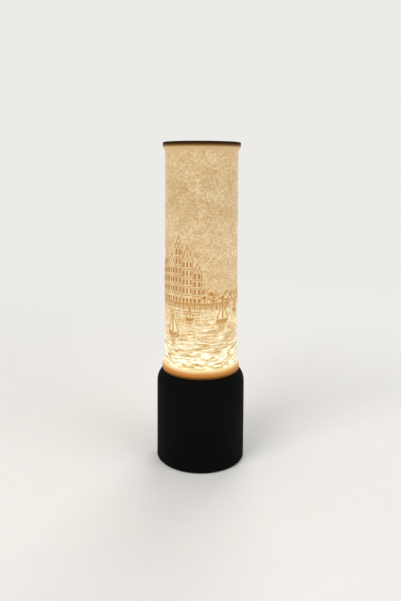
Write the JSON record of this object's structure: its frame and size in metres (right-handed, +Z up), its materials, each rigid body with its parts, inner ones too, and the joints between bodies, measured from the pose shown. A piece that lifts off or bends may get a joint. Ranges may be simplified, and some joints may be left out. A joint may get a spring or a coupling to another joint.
{
  "type": "night light",
  "caption": "Tall round night light: a glowing relief tube with a bead at each end stands on a matte black base with a rear rocker switch and mains inlet.",
  "frame": {"origin": "the middle of the footprint, on the surface that the four rubber feet stand on", "axes": "+Z up along the tube, -Y the front, +Y the back with the switch and the inlet, +X to the viewer's right"},
  "size_m": [0.096, 0.096, 0.3468],
  "materials": {
    "printed_black": "deep matte black printed plastic",
    "printed_warm_white": "translucent warm white print, lit from inside, strongest just above the base",
    "opal_globe": "opal diffuser, lit",
    "led_board_white": "white solder mask on an aluminium core",
    "circuit_board": "green solder mask",
    "white_plastic": "satin white moulding",
    "black_plastic": "satin black moulding",
    "phenolic": "dark heat-proof moulding, satin",
    "foot_rubber": "matte",
    "ballast_steel": "turned faces",
    "zinc_plated_steel": "bright zinc plate",
    "nickel_plate": "nickel plate on brass",
    "contact_brass": "bare spring brass",
    "lead_brown": "satin insulation",
    "lead_blue": "satin insulation"
  },
  "bodies": {
    "base": {"base_shell": "printed_black", "bottom_cover": "printed_black", "foot_1": "foot_rubber", "foot_2": "foot_rubber", "foot_3": "foot_rubber", "foot_4": "foot_rubber", "cover_screw_1": "zinc_plated_steel", "cover_screw_2": "zinc_plated_steel", "cover_screw_3": "zinc_plated_steel", "cover_screw_4": "zinc_plated_steel", "ballast_disc": "ballast_steel", "ballast_bolt": "zinc_plated_steel", "ballast_nut": "zinc_plated_steel", "holder_skirt": "phenolic", "holder_ring": "phenolic", "holder_dome": "phenolic", "holder_core": "white_plastic", "holder_sleeve": "nickel_plate", "holder_contact": "contact_brass", "switch_housing": "black_plastic", "switch_terminal_1": "contact_brass", "switch_terminal_2": "contact_brass", "inlet_housing": "black_plastic", "inlet_pin_1": "nickel_plate", "inlet_pin_2": "nickel_plate", "inlet_screw_1": "zinc_plated_steel", "inlet_screw_2": "zinc_plated_steel", "inlet_nut_1": "zinc_plated_steel", "inlet_nut_2": "zinc_plated_steel", "lead_neutral": "lead_blue", "lead_live": "lead_brown", "lead_switched": "lead_brown"},
    "shade": {"shade_tube": "printed_warm_white"},
    "bulb": {"bulb_contact": "nickel_plate", "bulb_insulator": "black_plastic", "bulb_cap": "nickel_plate", "bulb_housing": "white_plastic", "bulb_driver_board": "circuit_board", "bulb_led_board": "led_board_white", "bulb_globe": "opal_globe"},
    "rocker": {"switch_rocker": "black_plastic"}
  },
  "joints": [
    {"name": "shade_lift", "type": "slide", "parent": "base", "child": "shade", "axis": [0, 0, 1], "range_m": [0, 0.12]},
    {"name": "bulb_unscrew", "type": "slide", "parent": "base", "child": "bulb", "axis": [0, 0, 1], "range_m": [0, 0.035]},
    {"name": "rocker_tilt", "type": "hinge", "parent": "base", "child": "rocker", "pos_m": [0, 0.0428, 0.062], "axis": [1, 0, 0], "range_deg": [-20, 0]}
  ]
}
